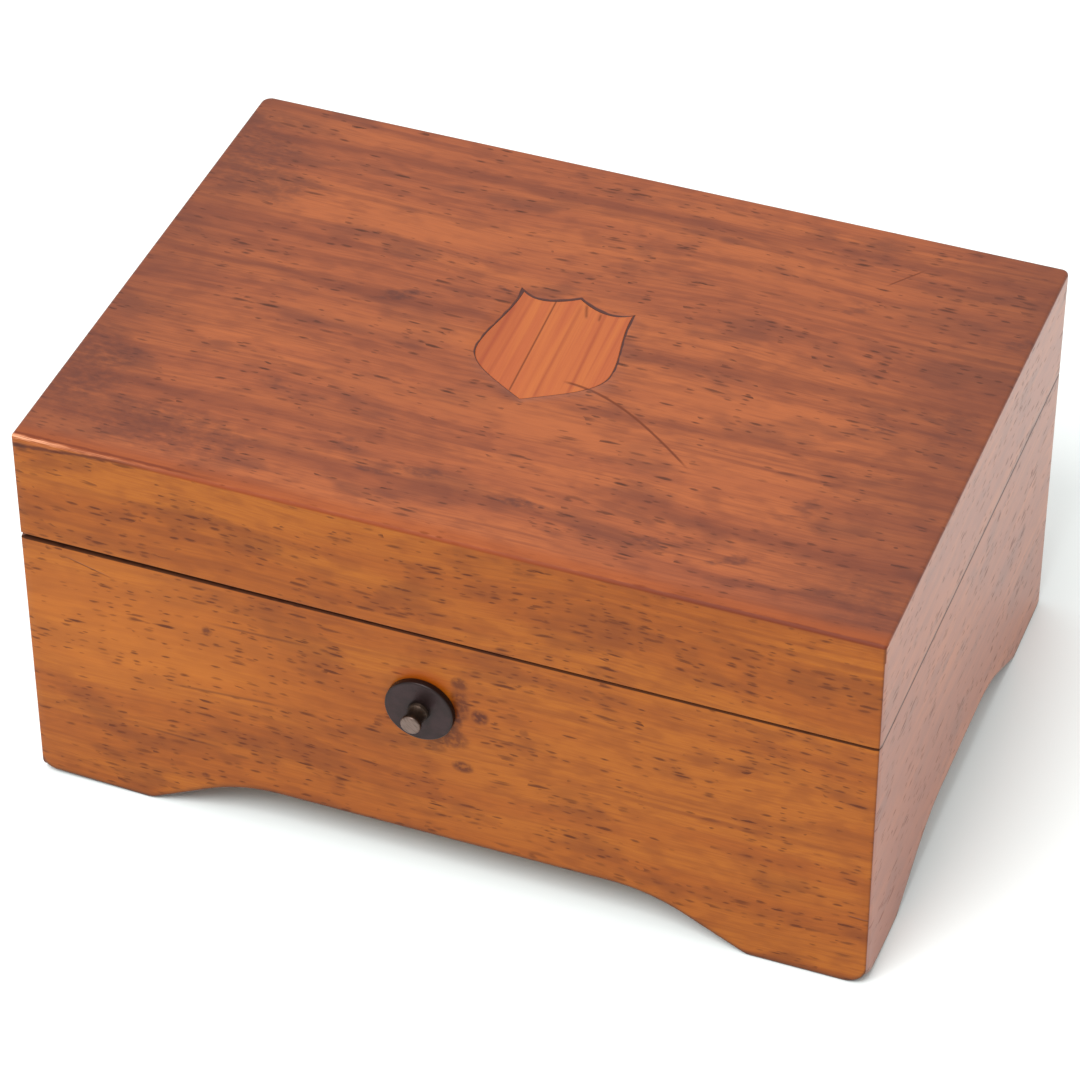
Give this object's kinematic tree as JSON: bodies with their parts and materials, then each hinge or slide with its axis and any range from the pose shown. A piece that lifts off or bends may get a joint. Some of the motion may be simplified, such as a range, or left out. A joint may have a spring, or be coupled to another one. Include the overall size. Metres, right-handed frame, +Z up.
{
  "type": "music box",
  "caption": "Small wooden music box with a lift-off lid, a shield inlaid in the top, arched feet and a metal stem through a disc on the front.",
  "frame": {"origin": "middle of the overall footprint, stem included, on the surface that the feet stand on", "axes": "+X along the box to the right, +Y from the front with the stem to the back, +Z up"},
  "size_m": [0.125, 0.0918, 0.062],
  "materials": {
    "lid_wood": "satin varnish, reddish brown with dark pores",
    "front_wood": "satin varnish, orange brown with dark pores",
    "side_wood": "satin varnish, orange brown with dark pores",
    "floor_wood": "bare planed wood",
    "shield_wood": "satin varnish, light orange, straight grained",
    "dark_metal": "dull, darkened brown grey",
    "worn_steel": "worn, dark at the sides and bright on the end"
  },
  "bodies": {
    "root": {"body_front": "front_wood", "body_right": "side_wood", "body_back": "front_wood", "body_left": "side_wood", "bottom_board": "floor_wood", "lid_panel": "lid_wood", "lid_front": "front_wood", "lid_right": "side_wood", "lid_back": "front_wood", "lid_left": "side_wood", "shield_inlay": "shield_wood", "stem_disc": "dark_metal", "stem": "worn_steel"}
  },
  "joints": []
}
